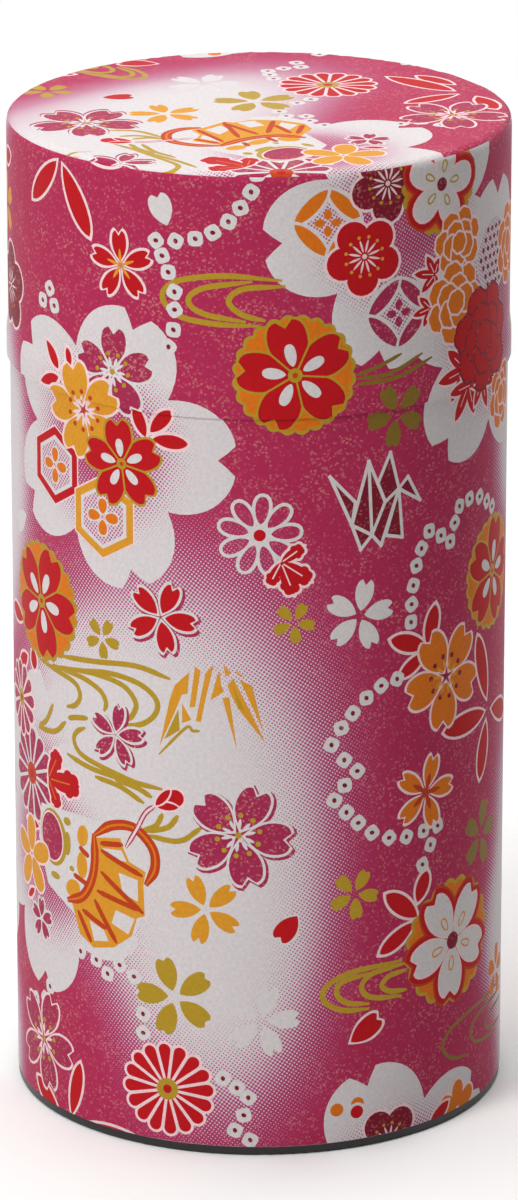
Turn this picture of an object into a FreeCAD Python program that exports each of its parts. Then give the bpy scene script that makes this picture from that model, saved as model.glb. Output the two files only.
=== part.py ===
import FreeCAD, Part
import math
import os
import Sketcher

# Paper-covered tin tea caddy: a round body with a neck, an outer lid that slides down over the neck,
# and an inner lid that sits in the neck's mouth. Every piece is turned about the Z axis, the base
# stands on Z = 0, and lengths are in millimetres.

# Driving sizes. Diameters are outside diameters, clearances and gaps are per side.
SIZES = {
    # whole caddy
    "body_diameter": 78.5,
    "body_height": 121.5,
    "lid_height": 38.5,
    # sheet stock and how it is joined
    "tin_gauge": 0.3,
    "paper_thickness": 0.2,
    "glue_line": 0.02,
    "paper_trim": 0.15,
    "press_gap": 0.02,
    # bottom end
    "rim_height": 1.4,
    "rim_ledge": 0.12,
    "rim_roll": 0.8,
    "rim_round": 0.4,
    "base_recess": 2.2,
    "end_upstand": 4.0,
    # neck
    "neck_depth": 14.0,
    "neck_hem": 2.5,
    "headspace": 14.0,
    # outer lid
    "lid_clearance": 0.25,
    "lid_hem": 3.2,
    "hem_slope": 3.0,
    "lid_corner": 0.8,
    "lid_lip": 4.0,
    "plate_gap": 0.1,
    "paper_turn": 0.4,
    # inner lid
    "plug_clearance": 0.2,
    "plug_depth": 6.0,
    "flange_inset": 0.1,
    "dish_corner": 0.9,
    # knob and its rivet
    "knob_height": 11.0,
    "knob_foot_diameter": 11.0,
    "knob_foot_height": 1.2,
    "knob_stem_diameter": 7.5,
    "knob_cap_diameter": 15.0,
    "knob_cap_edge": 1.2,
    "knob_dome": 1.6,
    "knob_cove": 0.8,
    "knob_bore": 6.5,
    "rivet_diameter": 3.0,
    "rivet_clearance": 0.03,
    "rivet_end_gap": 0.2,
    "rivet_head_diameter": 7.0,
    "rivet_head": 0.9,
}

# Radii and heights that follow from the driving sizes, each written once and shared by the pieces
# that meet there. Radii run outwards from the neck, heights upwards from the base.
FITS = {
    "body_outer": "body_diameter / 2",
    "shell_outer": "body_outer - paper_thickness - glue_line",
    "shell_inner": "shell_outer - tin_gauge",
    "neck_outer": "shell_inner - press_gap",
    "neck_inner": "neck_outer - tin_gauge",
    "neck_mouth": "neck_inner - tin_gauge",
    "hem_round": "tin_gauge / 2",
    "rim_outer": "shell_outer + rim_ledge",
    "rim_inner": "shell_inner - rim_roll",
    "end_top": "rim_height + end_upstand",
    "panel_top": "base_recess + tin_gauge",
    "skirt_inner": "neck_outer + lid_clearance",
    "skirt_outer": "skirt_inner + tin_gauge",
    "hem_outer": "skirt_outer + tin_gauge",
    "side_paper_inner": "skirt_outer + glue_line",
    "lid_outer": "side_paper_inner + paper_thickness",
    "hem_paper_inner": "hem_outer + glue_line",
    "hem_paper_outer": "hem_paper_inner + paper_thickness",
    "lid_top": "body_height + lid_height",
    "plate_top": "lid_top - paper_thickness - glue_line",
    "plate_under": "plate_top - tin_gauge",
    "lip_inner": "skirt_outer - lid_lip",
    "plate_outer": "lip_inner - plate_gap",
    "plate_step": "plate_outer - tin_gauge",
    "tuck_outer": "skirt_inner - lid_corner - plate_gap",
    "tuck_top": "plate_under - glue_line",
    "tuck_under": "tuck_top - tin_gauge",
    "skirt_corner": "lid_corner + tin_gauge",
    "paper_corner_inner": "skirt_corner + glue_line",
    "paper_corner": "paper_corner_inner + paper_thickness",
    "paper_butt": "lid_top - paper_corner - paper_turn",
    "neck_top": "plate_under - headspace",
    "plug_outer": "neck_mouth - plug_clearance",
    "plug_inner": "plug_outer - tin_gauge",
    "flange_outer": "neck_outer - flange_inset",
    "flange_top": "neck_top + tin_gauge",
    "dish_under": "neck_top - plug_depth",
    "dish_floor": "dish_under + tin_gauge",
    "dish_corner_outer": "dish_corner + tin_gauge",
    "rivet_radius": "rivet_diameter / 2",
    "rivet_hole": "rivet_radius + rivet_clearance",
    "knob_top": "dish_floor + knob_height",
    "knob_cap": "knob_cap_diameter / 2",
    "knob_crown": "knob_cap - knob_cap_edge",
    "knob_shoulder": "knob_top - knob_dome",
    "knob_cap_middle": "knob_shoulder - knob_cap_edge",
    "knob_cap_under": "knob_cap_middle - knob_cap_edge",
    "knob_stem": "knob_stem_diameter / 2",
    "knob_foot_top": "dish_floor + knob_foot_height",
    "knob_bore_top": "dish_floor + knob_bore",
    "dome_radius": "(knob_crown ^ 2 + knob_dome ^ 2) / (2 * knob_dome)",
    "rivet_head_radius": "rivet_head_diameter / 2",
}


def make_sheet(doc, name, cells):
    """A spreadsheet with one aliased cell for each name."""
    sheet = doc.addObject("Spreadsheet::Sheet", name)
    for row, (alias, content) in enumerate(cells.items(), start=1):
        sheet.set(f"A{row}", alias)
        sheet.set(f"B{row}", str(content))
        sheet.setAlias(f"B{row}", alias)
    return sheet


def in_sheets(words):
    """The expression with each size written with the sheet that holds it."""
    terms = words.replace("(", "( ").replace(")", " )").split()
    for place, term in enumerate(terms):
        if term in SIZES:
            terms[place] = "sizes." + term
        elif term in FITS:
            terms[place] = "fits." + term
    return " ".join(terms)


class Profile:
    """A closed half section in the XZ plane: its points are pairs of expressions, radius and height.

    A third entry in a point is the radius of an arc that runs on from it to the next point. The arc
    turns left with a plain radius, and right where the radius has a minus sign.
    """

    def __init__(self, body, points):
        self.sheet = body.Document.getObject("fits")
        self.sketch = body.newObject("Sketcher::SketchObject", body.Name + "_section")
        plane = next(f for f in body.Origin.OriginFeatures if f.Role == "XZ_Plane")
        self.sketch.AttachmentSupport = [(plane, "")]
        self.sketch.MapMode = "FlatFace"
        self.points = points
        self.places = [self.place(point) for point in points]
        self.ends = [self.add_side(number) for number in range(len(points))]
        for number in range(len(points)):
            self.fix_corner(number)

    def value(self, words):
        return float(self.sheet.evalExpression(in_sheets(words)))

    def place(self, point):
        return FreeCAD.Vector(self.value(point[0]), self.value(point[1]), 0)

    def add_side(self, number):
        """Draws the side that leaves a point: its number, its first end and its last end."""
        first = self.places[number]
        last = self.places[(number + 1) % len(self.places)]
        if len(self.points[number]) < 3:
            return self.sketch.addGeometry(Part.LineSegment(first, last), False), 1, 2
        words = self.points[number][2]
        turns_left = not words.startswith("-")
        radius = self.value(words.lstrip("- "))
        chord = last - first
        across = FreeCAD.Vector(-chord.y, chord.x, 0).normalize()
        reach = math.sqrt(radius**2 - chord.Length**2 / 4)
        centre = (first + last) / 2 + across * (reach if turns_left else -reach)
        start, stop = (first, last) if turns_left else (last, first)
        circle = Part.Circle(centre, FreeCAD.Vector(0, 0, 1), radius)
        arc = Part.ArcOfCircle(circle, circle.parameter(start), circle.parameter(stop))
        side = self.sketch.addGeometry(arc, False)
        self.bind("Radius", words.lstrip("- "), side)
        return (side, 1, 2) if turns_left else (side, 2, 1)

    def fix_corner(self, number):
        """Ties a point to the side before it, and its radius and height to the sheets."""
        side, first, _ = self.ends[number]
        before, _, last = self.ends[number - 1]
        self.sketch.addConstraint(Sketcher.Constraint("Coincident", before, last, side, first))
        for kind, words, axis in zip(("DistanceX", "DistanceY"), self.points[number], (-2, -1)):
            if words == "0":
                self.sketch.addConstraint(Sketcher.Constraint("PointOnObject", side, first, axis))
            else:
                self.bind(kind, words, -1, 1, side, first)

    def bind(self, kind, words, *where):
        constraint = Sketcher.Constraint(kind, *where, self.value(words))
        number = self.sketch.addConstraint(constraint)
        self.sketch.setExpression(f"Constraints[{number}]", in_sheets(words))


def turn(doc, label, points):
    """A piece turned about Z from its half section."""
    body = doc.addObject("PartDesign::Body", label)
    body.Label = label
    section = Profile(body, points).sketch
    turned = body.newObject("PartDesign::Revolution", label + "_turned")
    turned.Profile = section
    turned.ReferenceAxis = (section, ["V_Axis"])
    turned.Angle = 360
    section.Visibility = False
    return body


def make_body(doc):
    """The still half: shell, its paper, the bottom end and the neck."""
    shell = [
        ("shell_inner", "rim_height"),
        ("shell_outer", "rim_height"),
        ("shell_outer", "body_height"),
        ("shell_inner", "body_height"),
    ]
    paper = [
        ("shell_outer + glue_line", "rim_height + paper_trim"),
        ("body_outer", "rim_height + paper_trim"),
        ("body_outer", "body_height - paper_trim"),
        ("shell_outer + glue_line", "body_height - paper_trim"),
    ]
    # A recessed panel, a rolled rim that carries the shell, and a wall that stands up inside it.
    end = [
        ("0", "base_recess"),
        ("rim_inner", "base_recess"),
        ("rim_inner", "rim_round", "rim_round"),
        ("rim_inner + rim_round", "0"),
        ("rim_outer - rim_round", "0", "rim_round"),
        ("rim_outer", "rim_round"),
        ("rim_outer", "rim_height"),
        ("neck_outer", "rim_height"),
        ("neck_outer", "end_top"),
        ("neck_inner", "end_top"),
        ("neck_inner", "panel_top"),
        ("0", "panel_top"),
    ]
    # The neck's mouth is folded inwards into a rounded hem of double thickness.
    neck = [
        ("neck_inner", "body_height - neck_depth"),
        ("neck_outer", "body_height - neck_depth"),
        ("neck_outer", "neck_top - hem_round", "hem_round"),
        ("neck_outer - hem_round", "neck_top"),
        ("neck_mouth + hem_round", "neck_top", "hem_round"),
        ("neck_mouth", "neck_top - hem_round"),
        ("neck_mouth", "neck_top - neck_hem"),
        ("neck_inner", "neck_top - neck_hem"),
    ]
    return [
        turn(doc, "body_shell", shell),
        turn(doc, "body_paper", paper),
        turn(doc, "bottom_end", end),
        turn(doc, "neck_sleeve", neck),
    ]


def make_lid(doc):
    """The outer lid: skirt, top plate and the two papers."""
    # The skirt's mouth is folded outwards, which swells the lid there, and its top edge is turned
    # over a small corner into a lip.
    skirt = [
        ("skirt_inner", "body_height"),
        ("hem_outer", "body_height"),
        ("hem_outer", "body_height + lid_hem"),
        ("skirt_outer", "body_height + lid_hem"),
        ("skirt_outer", "plate_top - skirt_corner", "skirt_corner"),
        ("skirt_outer - skirt_corner", "plate_top"),
        ("lip_inner", "plate_top"),
        ("lip_inner", "plate_under"),
        ("skirt_inner - lid_corner", "plate_under", "- lid_corner"),
        ("skirt_inner", "plate_under - lid_corner"),
    ]
    # The disc lies flush with the lip, and its stepped edge tucks under it.
    plate = [
        ("0", "plate_under"),
        ("plate_step", "plate_under"),
        ("plate_step", "tuck_under"),
        ("tuck_outer", "tuck_under"),
        ("tuck_outer", "tuck_top"),
        ("plate_outer", "tuck_top"),
        ("plate_outer", "plate_top"),
        ("0", "plate_top"),
    ]
    # The side paper follows the hem and slopes back to the plain skirt above it.
    side_paper = [
        ("hem_paper_inner", "body_height + paper_trim"),
        ("hem_paper_outer", "body_height + paper_trim"),
        ("hem_paper_outer", "body_height + lid_hem + tin_gauge"),
        ("lid_outer", "body_height + lid_hem + tin_gauge + hem_slope"),
        ("lid_outer", "paper_butt - glue_line"),
        ("side_paper_inner", "paper_butt - glue_line"),
        ("side_paper_inner", "body_height + lid_hem + tin_gauge + hem_slope"),
        ("hem_paper_inner", "body_height + lid_hem + tin_gauge"),
    ]
    top_paper = [
        ("0", "plate_top + glue_line"),
        ("lid_outer - paper_corner", "plate_top + glue_line", "- paper_corner_inner"),
        ("side_paper_inner", "lid_top - paper_corner"),
        ("side_paper_inner", "paper_butt"),
        ("lid_outer", "paper_butt"),
        ("lid_outer", "lid_top - paper_corner", "paper_corner"),
        ("lid_outer - paper_corner", "lid_top"),
        ("0", "lid_top"),
    ]
    return [
        turn(doc, "lid_skirt", skirt),
        turn(doc, "lid_top_plate", plate),
        turn(doc, "lid_side_paper", side_paper),
        turn(doc, "lid_top_paper", top_paper),
    ]


def make_inner_lid(doc):
    """The inner lid: a dish that plugs the neck, its knob and the knob's rivet."""
    dish = [
        ("rivet_hole", "dish_under"),
        ("plug_outer - dish_corner_outer", "dish_under", "dish_corner_outer"),
        ("plug_outer", "dish_under + dish_corner_outer"),
        ("plug_outer", "neck_top"),
        ("flange_outer", "neck_top"),
        ("flange_outer", "flange_top"),
        ("plug_inner + tin_gauge", "flange_top", "tin_gauge"),
        ("plug_inner", "neck_top"),
        ("plug_inner", "dish_floor + dish_corner", "- dish_corner"),
        ("plug_inner - dish_corner", "dish_floor"),
        ("rivet_hole", "dish_floor"),
    ]
    # A flat foot, a coved stem and a domed cap, with a blind bore for the rivet.
    knob = [
        ("0", "knob_bore_top"),
        ("rivet_hole", "knob_bore_top"),
        ("rivet_hole", "dish_floor"),
        ("knob_foot_diameter / 2", "dish_floor"),
        ("knob_foot_diameter / 2", "knob_foot_top"),
        ("knob_stem + knob_cove", "knob_foot_top", "- knob_cove"),
        ("knob_stem", "knob_foot_top + knob_cove"),
        ("knob_stem", "knob_cap_under - knob_cove", "- knob_cove"),
        ("knob_stem + knob_cove", "knob_cap_under"),
        ("knob_crown", "knob_cap_under", "knob_cap_edge"),
        ("knob_cap", "knob_cap_middle", "knob_cap_edge"),
        ("knob_crown", "knob_shoulder", "dome_radius"),
        ("0", "knob_top"),
    ]
    rivet = [
        ("0", "dish_under - rivet_head"),
        ("rivet_head_radius - rivet_head", "dish_under - rivet_head", "rivet_head"),
        ("rivet_head_radius", "dish_under"),
        ("rivet_radius", "dish_under"),
        ("rivet_radius", "knob_bore_top - rivet_end_gap"),
        ("0", "knob_bore_top - rivet_end_gap"),
    ]
    return [
        turn(doc, "inner_lid_dish", dish),
        turn(doc, "inner_lid_knob", knob),
        turn(doc, "knob_rivet", rivet),
    ]


def check(doc, pieces):
    """Stops if anything failed to build, or a piece isn't one sound solid."""
    for thing in doc.Objects:
        if "Invalid" in thing.State or "Error" in thing.State:
            raise RuntimeError(f"{thing.Label} did not build: {thing.State}")
    for piece in pieces:
        shape = piece.Shape
        if shape.isNull() or not shape.isValid() or len(shape.Solids) != 1:
            raise RuntimeError(f"{piece.Label} is not one sound solid")


def main():
    doc = FreeCAD.newDocument("tea_caddy")
    make_sheet(doc, "sizes", SIZES)
    make_sheet(doc, "fits", {alias: "=" + in_sheets(words) for alias, words in FITS.items()})
    doc.recompute()
    pieces = make_body(doc) + make_lid(doc) + make_inner_lid(doc)
    doc.recompute()
    check(doc, pieces)
    os.makedirs("parts", exist_ok=True)
    for piece in pieces:
        piece.Shape.exportStep(f"parts/{piece.Label}.step")
        print(f"{piece.Label}: {piece.Shape.Volume:.1f} mm3")


main()
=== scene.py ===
"""Looks of a round tea caddy: tin covered in printed washi, with bright tinplate inside.

The print is drawn on its flat sheet and then wrapped. A place on the sheet is a complex number of
millimetres: its real part runs round the caddy from the middle of the front, to the right as it is seen, and
its imaginary part is the height above the table. A motif is a few filled outlines, each in one ink, and a
later outline covers an earlier one.
"""

import cmath
import math

import bpy
import numpy as np
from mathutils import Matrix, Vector
from mathutils.geometry import delaunay_2d_cdt


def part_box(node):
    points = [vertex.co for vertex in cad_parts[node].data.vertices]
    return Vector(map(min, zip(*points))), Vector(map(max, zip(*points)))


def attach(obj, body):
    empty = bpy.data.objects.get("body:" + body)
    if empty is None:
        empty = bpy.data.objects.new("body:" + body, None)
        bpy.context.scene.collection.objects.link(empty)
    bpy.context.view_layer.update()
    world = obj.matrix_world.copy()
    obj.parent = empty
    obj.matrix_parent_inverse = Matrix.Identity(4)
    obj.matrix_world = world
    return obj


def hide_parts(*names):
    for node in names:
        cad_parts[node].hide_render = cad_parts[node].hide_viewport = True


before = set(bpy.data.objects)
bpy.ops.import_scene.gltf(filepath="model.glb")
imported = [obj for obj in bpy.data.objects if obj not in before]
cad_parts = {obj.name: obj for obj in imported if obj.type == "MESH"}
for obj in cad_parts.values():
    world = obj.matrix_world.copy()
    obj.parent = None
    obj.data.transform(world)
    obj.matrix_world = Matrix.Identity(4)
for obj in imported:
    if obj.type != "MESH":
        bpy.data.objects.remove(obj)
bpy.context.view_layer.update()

# Sizes in millimetres, read from the frame where it has them
MM = 0.001


def measured(node):
    """Lowest and highest corner of a node, in millimetres."""
    return np.array(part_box(node)) / MM


BODY_LOW, BODY_HIGH = measured("body_paper")
LID_LOW, LID_HIGH = measured("lid_side_paper")
TOP_HIGH = measured("lid_top_paper")[1]
PAPER = 0.2
LAP = 4.0
LAP_RAMP = 3.0
LAP_LIFT = 1.1 * PAPER
GIRTH = 2 * math.pi * BODY_HIGH[0]
HEM_SWELL_FROM = LID_LOW[2] + 3.2
HEM_SWELL_TO = LID_LOW[2] + 6.6
LID_TUCK = 0.2
LACQUER_TOP = 1.6

# The lid's rounded top edge, and how far round it, in degrees, the top sheet reaches
TOP_CORNER = 1.32
TOP_TURNED = 55
CORNER_LOW = TOP_HIGH[2] - TOP_CORNER
SHEET_GAP = 0.02

# Spacing of the mesh on the printed side and on the back of a sheet, how much closer its rows lie, and the
# points round the lid top
SHEET_STEP = 1.3
BACKING_STEP = 2.6
ROW_SHARE = 0.866
TOP_RIM_STEPS = 180

# Inks, in the order of the material slots of a printed sheet
INKS = ("ground", "white", "pale", "red", "orange", "amber", "gold", "bronze", "wine", "plum", "cord",
        "paper_back")


def turned(degrees):
    """Unit direction at an angle."""
    return cmath.exp(1j * math.radians(degrees))


def arc(centre, radius, start, end, steps):
    """Points along a circular arc, both ends included."""
    return centre + radius * np.exp(1j * np.radians(np.linspace(start, end, steps + 1)))


def circle(radius, centre=0j, steps=18):
    """Points round a circle."""
    return arc(centre, radius, 0, 360, steps)[:-1]


def oval(across, tall, steps=24):
    """Points round an oval, from its two half widths."""
    ring = circle(1.0, steps=steps)
    return across * ring.real + 1j * tall * ring.imag


def bezier(controls, steps):
    """Points along a Bezier curve, without its last one."""
    share = np.linspace(0, 1, steps, endpoint=False)
    level = [np.full(steps, point, dtype=complex) for point in controls]
    while len(level) > 1:
        level = [a + (b - a) * share for a, b in zip(level, level[1:])]
    return level[0]


def mirrored(side):
    """Closes an outline whose upper side starts and ends on the real axis."""
    return np.concatenate([side, side[-2:0:-1].conj()])


def cherry_petal(length, width, notch, start=0.0, grow=0.0):
    """Petal along the real axis, widest past its middle and notched at its end."""
    run = length - start
    half = width / 2 + grow
    tip = length + grow
    waist = complex(start + 0.62 * run, half)
    peak = complex(tip, 0.42 * half)
    near = complex(start + 0.12 * run, 0.5 * half)
    belly = complex(start + 0.36 * run, half)
    shoulder = complex(start + 0.86 * run, half)
    side = [
        bezier([start - 1.3 * grow, near, belly, waist], 6),
        bezier([waist, shoulder, complex(tip - 0.02 * run, 0.8 * half), peak], 5),
        [peak, tip - notch],
    ]
    return mirrored(np.concatenate(side))


def teardrop(length, width, start=0.0, grow=0.0):
    """Petal along the real axis, narrow at its base and round at its end."""
    side = arc(length - width / 2, width / 2 + grow, 100, 0, 7)
    return mirrored(np.concatenate([[start - 1.8 * grow], side]))


def round_petal(length, width, start=0.0, grow=0.0):
    """Egg-shaped petal along the real axis."""
    half = width / 2 + grow
    tip = length + grow
    base = start - grow
    controls = [base, complex(base + 0.1 * length, 1.15 * half), complex(tip, 1.5 * half), tip]
    return mirrored(np.append(bezier(controls, 9), tip))


def leaf(length, width, belly=0.5, grow=0.0):
    """Leaf along the real axis, pointed at both ends."""
    reach = 1.5 * grow
    lift = (width / 2 + grow) / 0.75
    controls = [-reach, complex((belly - 0.3) * length, lift), complex((belly + 0.3) * length, lift)]
    tip = length + reach
    return mirrored(np.append(bezier([*controls, tip], 10), tip))


def scalloped(radius, count, depth=0.06):
    """Disc with a scalloped edge."""
    angle = np.linspace(0, 2 * math.pi, 6 * count, endpoint=False)
    return radius * (1 - depth + depth * np.abs(np.sin(count * angle / 2))) * np.exp(1j * angle)


def through(points, steps=7):
    """A smooth line through given points."""
    points = [complex(point) for point in points]
    ends = [2 * points[0] - points[1], *points, 2 * points[-1] - points[-2]]
    share = np.linspace(0, 1, steps, endpoint=False)
    spans = []
    for a, b, c, d in zip(ends, ends[1:], ends[2:], ends[3:]):
        bend = (2 * a - 5 * b + 4 * c - d) * share**2 + (3 * b - a - 3 * c + d) * share**3
        spans.append(b + 0.5 * ((c - a) * share + bend))
    return np.append(np.concatenate(spans), points[-1])


def stroke(points, width, steps=7):
    """A brush line through the points, thinner at its ends."""
    line = through(points, steps)
    ahead = np.gradient(line)
    share = np.linspace(0, 1, len(line))
    half = width / 2 * np.minimum(1, 0.45 + 4 * np.minimum(share, 1 - share))
    edge = 1j * ahead / np.abs(ahead) * half
    return np.concatenate([line + edge, (line - edge)[::-1]])


def bar(start, end, width):
    """A straight line of even width."""
    ahead = (end - start) / abs(end - start) * width / 2
    side = 1j * ahead
    return np.array([start - ahead - side, end + ahead - side, end + ahead + side, start - ahead + side])


def smooth(low, high, value):
    """0 below low, 1 above high, and an even ease between."""
    share = np.clip((value - low) / (high - low), 0, 1)
    return share * share * (3 - 2 * share)


class Pen:
    """Lays outlines on a sheet, all turned and moved together, so that the design can be printed again."""

    def __init__(self, sheet, shift=0j, turn=0.0):
        self.sheet = sheet
        self.shift = shift
        self.spin = turned(turn)

    def place(self, at):
        return self.shift + self.spin * at

    def lay(self, ink, outline, at=0j, turn=0.0, dye=None):
        self.sheet.shapes.append((ink, self.place(at + np.asarray(outline) * turned(turn)), dye))

    def mist(self, at, across, tall):
        self.sheet.mists.append((self.place(at), self.spin, across, tall))


# Shares of a cloud's reach where the dye starts to come back, and where it is whole
MIST_CORE = 0.08
MIST_END = 1.3


class Sheet:
    """A flat sheet with its outlines in printing order and the clouds where the ground fades to white."""

    def __init__(self):
        self.shapes = []
        self.mists = []

    def ground_dye(self, places):
        """How densely the ground is dyed, from 0, white, to 1."""
        dye = np.ones(len(places))
        for at, spin, across, tall in self.mists:
            away = (places - at) * spin.conjugate()
            dye *= smooth(MIST_CORE, MIST_END, np.hypot(away.real / across, away.imag / tall))
        return dye


# Motifs
def even_dye(density):
    """The same density of dye all over an outline."""

    def dye(places):
        return np.full(len(places), density)

    return dye


def petals(pen, at, turn, count, fill, edge, border, petal, **sizes):
    """A ring of like petals, all their borders under all their fills."""
    for ink, grow in ((edge, border), (fill, 0.0)):
        if ink:
            for k in range(count):
                pen.lay(ink, petal(grow=grow, **sizes), at, turn + 360 * k / count)


def stamens(pen, at, turn, count, start, reach, ink, tip, width=0.28):
    """A ring of short threads with a dot past the end of each."""
    for k in range(count):
        angle = turn + 360 * (k + 0.5) / count
        pen.lay(ink, leaf(reach - start, 1.5 * width), at + start * turned(angle), angle)
        pen.lay(tip, circle(1.2 * width, steps=8), at + (reach + 1.6 * width) * turned(angle))


def cherry(pen, at, radius, turn, fill, edge="pale", thread=None, tip=None, slim=0.6, shadow=False):
    """Cherry blossom of five notched petals, full or loose."""
    sizes = dict(length=radius, width=slim * radius, notch=0.15 * radius, start=0.13 * radius)
    if shadow:
        for k in range(5):
            pen.lay("wine", cherry_petal(grow=0.62, **sizes), at + 0.3 - 0.3j, turn + 72 * k)
    petals(pen, at, turn, 5, fill, edge, 0.45, cherry_petal, **sizes)
    if thread:
        stamens(pen, at, turn, 10, 0.12 * radius, 0.34 * radius, thread, tip, 0.045 * radius)
        pen.lay(tip, circle(0.07 * radius, steps=8), at)


def small_blossom(pen, at, radius, turn, fill="gold"):
    """Five loose petals in one ink."""
    sizes = dict(length=radius, width=0.52 * radius, notch=0.07 * radius, start=0.16 * radius)
    petals(pen, at, turn, 5, fill, None, 0, cherry_petal, **sizes)


def plum(pen, at, radius, turn, fill, edge="pale", thread="pale", tip="orange"):
    """Plum blossom of five round petals with long stamens."""
    for ink, grow in ((edge, 0.45), (fill, 0.0)):
        for k in range(5):
            pen.lay(ink, circle(0.42 * radius + grow, 0.58 * radius), at, turn + 72 * k)
        pen.lay(ink, circle(0.4 * radius), at)
    stamens(pen, at, turn, 12, 0.1 * radius, 0.44 * radius, thread, tip, 0.24)
    pen.lay(thread, circle(0.07 * radius, steps=8), at)


def rosette(pen, at, radius, turn, disc=True):
    """Red blossom with gold borders and white drops, on an orange disc with a scalloped gold rim."""
    if disc:
        pen.lay("gold", scalloped(radius + 0.25, 24), at)
        pen.lay("orange", scalloped(radius - 0.35, 24), at)
    sizes = dict(length=0.94 * radius, width=0.66 * radius, notch=0.13 * radius, start=0.06 * radius)
    petals(pen, at, turn, 5, "red", "gold", 0.38, cherry_petal, **sizes)
    for k in range(5):
        pen.lay("gold", bar(0.1 * radius, 0.6 * radius, 0.3), at, turn + 36 + 72 * k)
    petals(pen, at, turn, 5, "white", None, 0, round_petal, length=0.54 * radius, width=0.19 * radius,
           start=0.15 * radius)
    pen.lay("gold", circle(0.12 * radius), at)
    pen.lay("cord", circle(0.05 * radius, steps=8), at)


def white_rosette(pen, at, radius, turn, petal, width, drops):
    """White blossom with red borders, on an orange disc with a scalloped gold rim."""
    pen.lay("gold", scalloped(1.12 * radius, 20, 0.08), at, turn)
    pen.lay("orange", scalloped(1.12 * radius - 0.7, 20, 0.08), at, turn)
    sizes = dict(length=0.95 * radius, width=width * radius, start=0.1 * radius)
    for ink, grow in (("cord", 1.6), ("red", 1.2), ("pale", 0.4), ("white", 0.0)):
        for k in range(5):
            pen.lay(ink, petal(grow=grow, **sizes), at, turn + 72 * k)
    petals(pen, at, turn, 5, "white", drops, 0.3, round_petal, length=0.5 * radius, width=0.09 * radius,
           start=0.28 * radius)
    pen.lay("plum", circle(0.15 * radius), at)


def notched(length, width, start=0.0, grow=0.0):
    """Cherry petal with a shallow notch."""
    return cherry_petal(length, width, 0.12 * length, start, grow)


def chrysanthemum(pen, at, radius, turn, count, fill, edge="pale", heart="gold", gap=0.55):
    """Chrysanthemum of narrow round-ended petals with a line between them."""
    step = math.sin(math.pi / count)
    width = (2 * radius * step - gap) / (1 + step)
    petals(pen, at, turn, count, fill, edge, 0.45, teardrop, length=radius, width=width, start=0.16 * radius)
    pen.lay(edge, circle(0.2 * radius), at)
    pen.lay(heart, circle(0.24 * radius), at)
    pen.lay("red", circle(0.1 * radius, steps=10), at)


def open_chrysanthemum(pen, at, radius, turn, count):
    """Chrysanthemum in white line, with the ground showing inside."""
    sizes = dict(length=radius - 0.55, width=0.31 * radius, start=0.26 * radius)
    petals(pen, at, turn, count, "ground", "white", 0.55, round_petal, **sizes)
    pen.lay("white", circle(0.24 * radius), at)
    pen.lay("red", circle(0.14 * radius), at)


def peony(pen, at, radius, turn, fill, edge):
    """Full peony: two rings of broad petals round a bud."""
    for count, out, size, swing in ((7, 0.66, 0.36, 0), (5, 0.34, 0.34, 30), (1, 0.0, 0.3, 0)):
        for k in range(count):
            place = at + out * radius * turned(turn + swing + 360 * k / count)
            for ink, grow in ((edge, 0.4), (fill, 0.0)):
                pen.lay(ink, scalloped(size * radius + grow, 7, 0.08), place, turn + 51 * k)


def edged(pen, start, end, shape, fill, edge, border=0.5, **sizes):
    """A leaf or petal that runs from one place to another."""
    turn = math.degrees(cmath.phase(end - start))
    for ink, grow in ((edge, border), (fill, 0.0)):
        pen.lay(ink, shape(length=abs(end - start), grow=grow, **sizes), start, turn)


def maple(pen, at, size, turn, fill="red", edge="pale"):
    """Maple leaf of five pointed lobes."""
    lobes = ((-100, 0.62), (-52, 0.85), (0, 1.0), (52, 0.85), (100, 0.62))
    for ink, grow in ((edge, 0.4), (fill, 0.0)):
        for swing, reach in lobes:
            pen.lay(ink, leaf(reach * size, 0.34 * size, 0.45, grow), at, turn + swing)
    for swing, reach in lobes:
        pen.lay(edge, bar(0.1 * size, 0.6 * reach * size, 0.16), at, turn + swing)


def lobed_leaf(pen, at, ends, fill="red", edge="pale", vein="pale"):
    """Leaf of a few blunt lobes that meet at its stalk."""
    for ink, grow in ((edge, 0.45), (fill, 0.0)):
        for end in ends:
            turn = math.degrees(cmath.phase(end - at))
            pen.lay(ink, scalloped(0.29 * abs(end - at) + grow, 5, 0.2), at + 0.72 * (end - at), turn)
            pen.lay(ink, leaf(abs(end - at), 0.4 * abs(end - at), 0.55, grow), at, turn)
    for end in ends:
        pen.lay(vein, bar(at + 0.1 * (end - at), at + 0.7 * (end - at), 0.22))


def knot(pen, at):
    """Tie-dye knot: a small white ring, a little square, with a dark eye."""
    turn = (7 * at.real + 11 * at.imag) % 90
    angle = np.linspace(0, 2 * math.pi, 14, endpoint=False)
    pen.lay("white", 1.3 * (1 + 0.08 * np.cos(4 * angle)) * np.exp(1j * angle), at, turn)
    pen.lay("plum", oval(0.36, 0.44, 8), at, turn)


def linked_rings(pen, at, radius, fill):
    """Round of the linked-rings pattern: four pointed ovals about a flower."""
    pen.lay("white", circle(radius + 0.35, steps=30), at)
    pen.lay("ground", circle(radius - 0.1, steps=30), at, dye=even_dye(0.42))
    for k in range(4):
        corner = at + radius * turned(90 * k)
        after = at + radius * turned(90 * k + 90)
        edged(pen, corner, after, leaf, fill, "white", 0.55, width=0.42 * radius)
        pen.lay(fill, leaf(0.34 * radius, 0.24 * radius), at + 0.08 * radius * turned(90 * k), 90 * k)


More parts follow.
